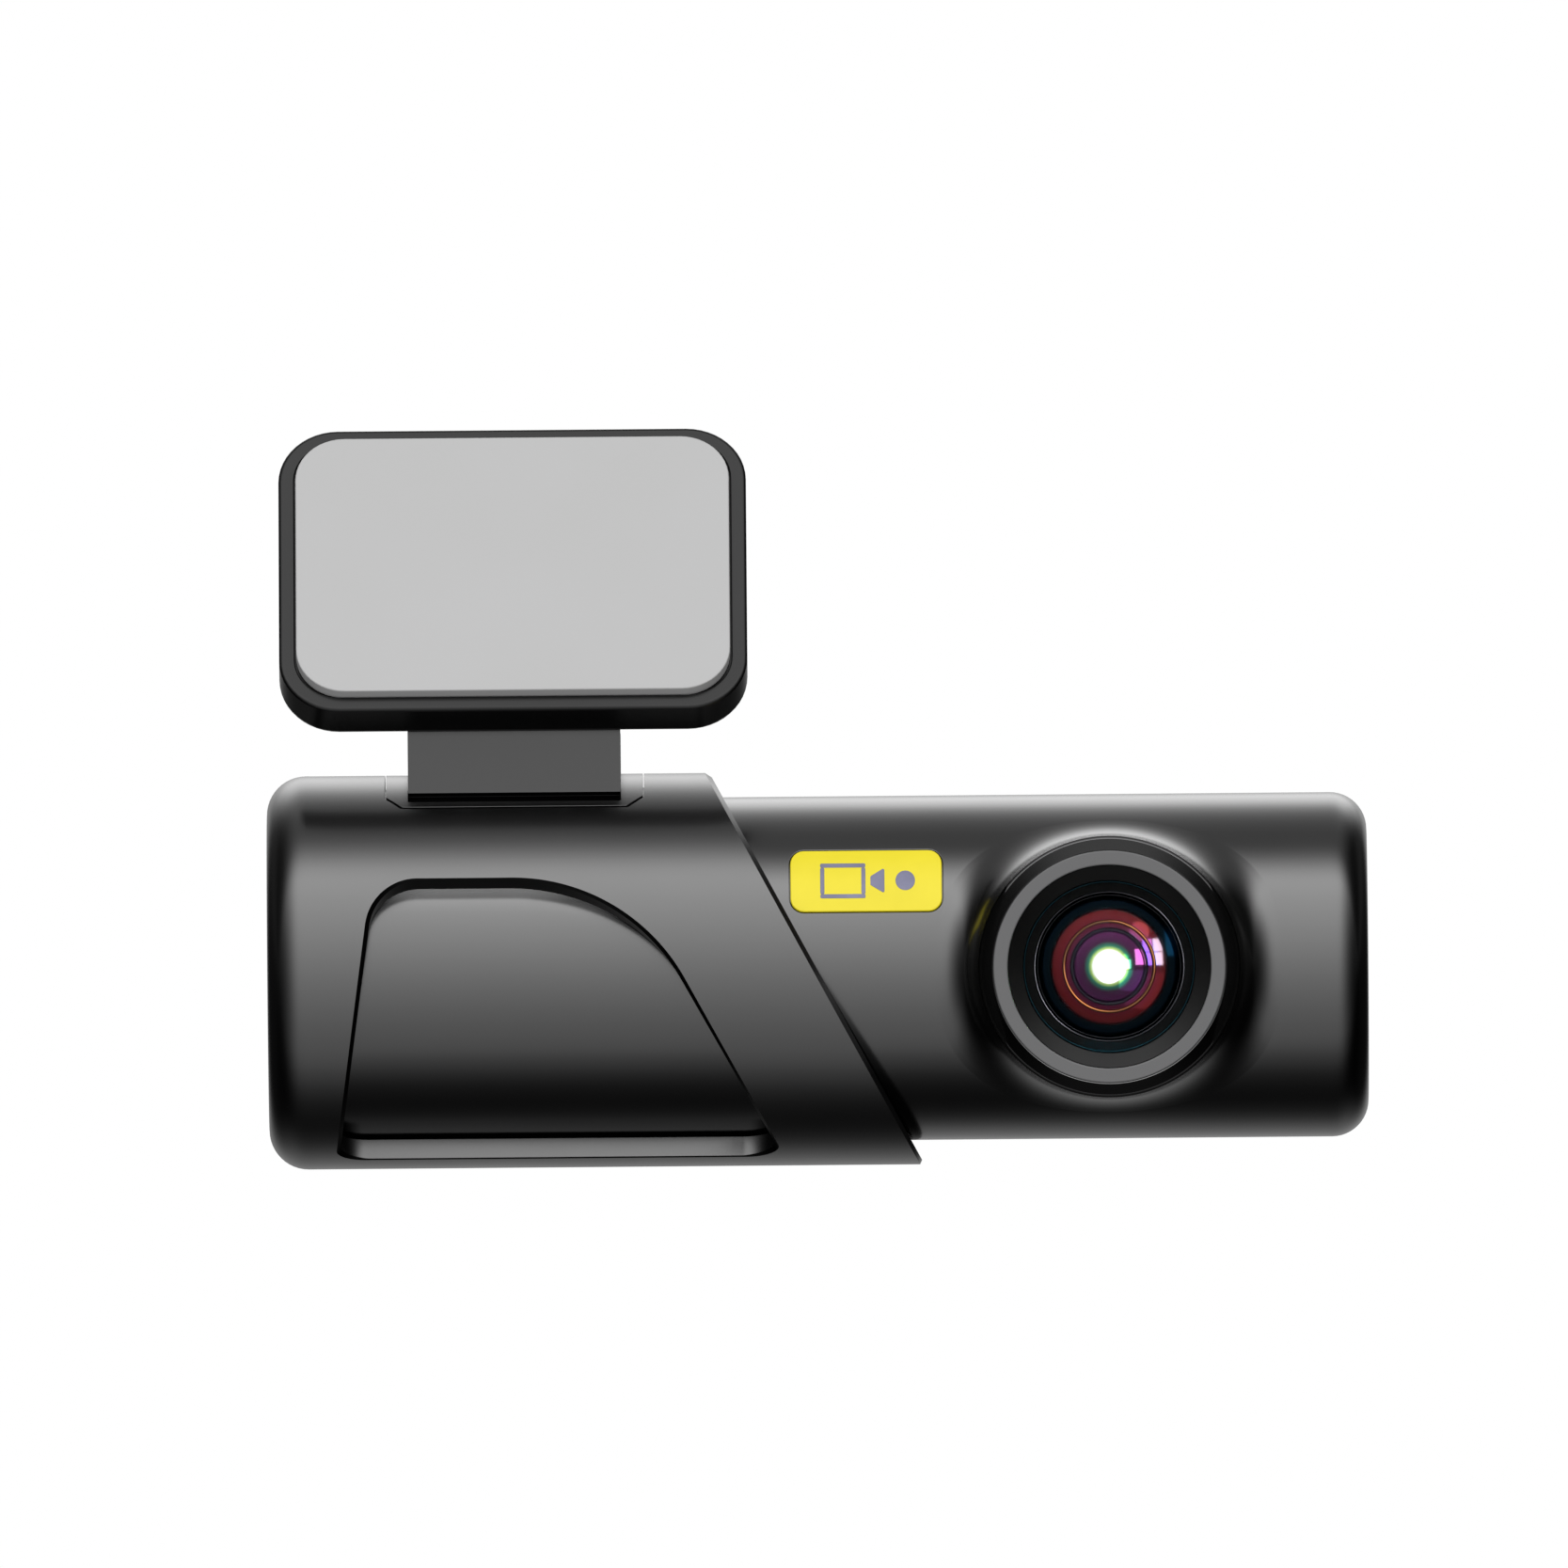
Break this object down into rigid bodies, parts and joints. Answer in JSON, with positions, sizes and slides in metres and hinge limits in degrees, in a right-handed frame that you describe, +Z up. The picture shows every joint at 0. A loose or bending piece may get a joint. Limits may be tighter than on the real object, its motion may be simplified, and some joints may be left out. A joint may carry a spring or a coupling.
{
  "type": "dash camera",
  "caption": "Cylindrical windscreen dash camera turning in a windowed cradle sleeve, hung by a hinged neck from a flat adhesive plate.",
  "frame": {"origin": "centre of the adhesive face that sticks to the windscreen", "axes": "+X along the barrel towards the lens end, +Y towards the driver (the lens looks along -Y), +Z up; the plate leans back 32 degrees from the vertical"},
  "size_m": [0.09, 0.0337, 0.0603],
  "materials": {
    "adhesive_grey": "matte foam tape",
    "mount_black": "fine moulded texture",
    "cradle_black": "satin",
    "barrel_black": "satin",
    "panel_black": "matte",
    "button_black": "matte",
    "badge_yellow": "printed and lacquered",
    "trim_grey": "satin",
    "lens_black": "matte, light-absorbing",
    "lens_glass": "coated",
    "filter_glass": "coated",
    "rubber_black": "matte",
    "steel": "zinc plated",
    "aluminium": "satin",
    "board_green": "solder mask",
    "chip_black": "moulded",
    "flex_amber": "polyimide film",
    "clear_plastic": "diffusing"
  },
  "bodies": {
    "plate": {"adhesive_pad": "adhesive_grey", "mount_plate": "mount_black", "hinge_screw": "steel", "hinge_nut": "steel"},
    "cradle": {"mount_neck": "mount_black", "cradle_sleeve": "cradle_black"},
    "camera": {"barrel_shell": "barrel_black", "friction_ring": "rubber_black", "port_panel": "panel_black", "port_panel_screw_1": "steel", "port_panel_screw_2": "steel", "port_panel_screw_3": "steel", "badge": "badge_yellow", "trim_ring": "trim_grey", "lens_hood": "lens_black", "retaining_ring": "lens_black", "lens_tube": "lens_black", "front_element": "lens_glass", "second_element": "lens_glass", "aperture_disc": "lens_black", "third_element": "lens_glass", "rear_element": "lens_glass", "lens_seal": "rubber_black", "lens_holder": "lens_black", "ir_filter": "filter_glass", "image_sensor": "chip_black", "sensor_board": "board_green", "lens_holder_screw_1": "steel", "lens_holder_screw_2": "steel", "sensor_board_screw_1": "steel", "sensor_board_screw_2": "steel", "inner_frame": "panel_black", "main_board": "board_green", "main_board_screw_1": "steel", "main_board_screw_2": "steel", "main_board_screw_3": "steel", "main_board_screw_4": "steel", "processor": "chip_black", "heat_sink": "aluminium", "memory_chip": "chip_black", "supercapacitor_1": "aluminium", "supercapacitor_2": "aluminium", "wifi_antenna": "flex_amber", "usb_socket": "steel", "card_socket": "steel", "flex_connector": "clear_plastic", "flex_ribbon": "flex_amber", "button_board": "board_green", "button_board_screw_1": "steel", "button_board_screw_2": "steel", "tact_switch": "steel", "status_led": "clear_plastic", "status_light_pipe": "clear_plastic", "microphone": "steel", "speaker": "chip_black"},
    "button": {"lock_button": "button_black"},
    "card": {"memory_card": "chip_black"}
  },
  "joints": [
    {"name": "mount_tilt", "type": "hinge", "parent": "plate", "child": "cradle", "pos_m": [0, 0.00265, -0.01056], "axis": [1, 0, 0], "range_deg": [0, 35]},
    {"name": "barrel_rotation", "type": "hinge", "parent": "cradle", "child": "camera", "pos_m": [0.0247, 0.004, -0.0334], "axis": [1, 0, 0], "range_deg": [-165, 165]},
    {"name": "button_press", "type": "slide", "parent": "camera", "child": "button", "axis": [0, -1, 0], "range_m": [0, 0.0004], "stiffness_N_per_m": 2500, "springref_m": -0.0002},
    {"name": "card_eject", "type": "slide", "parent": "camera", "child": "card", "axis": [-1, 0, 0], "range_m": [0, 0.015]}
  ]
}
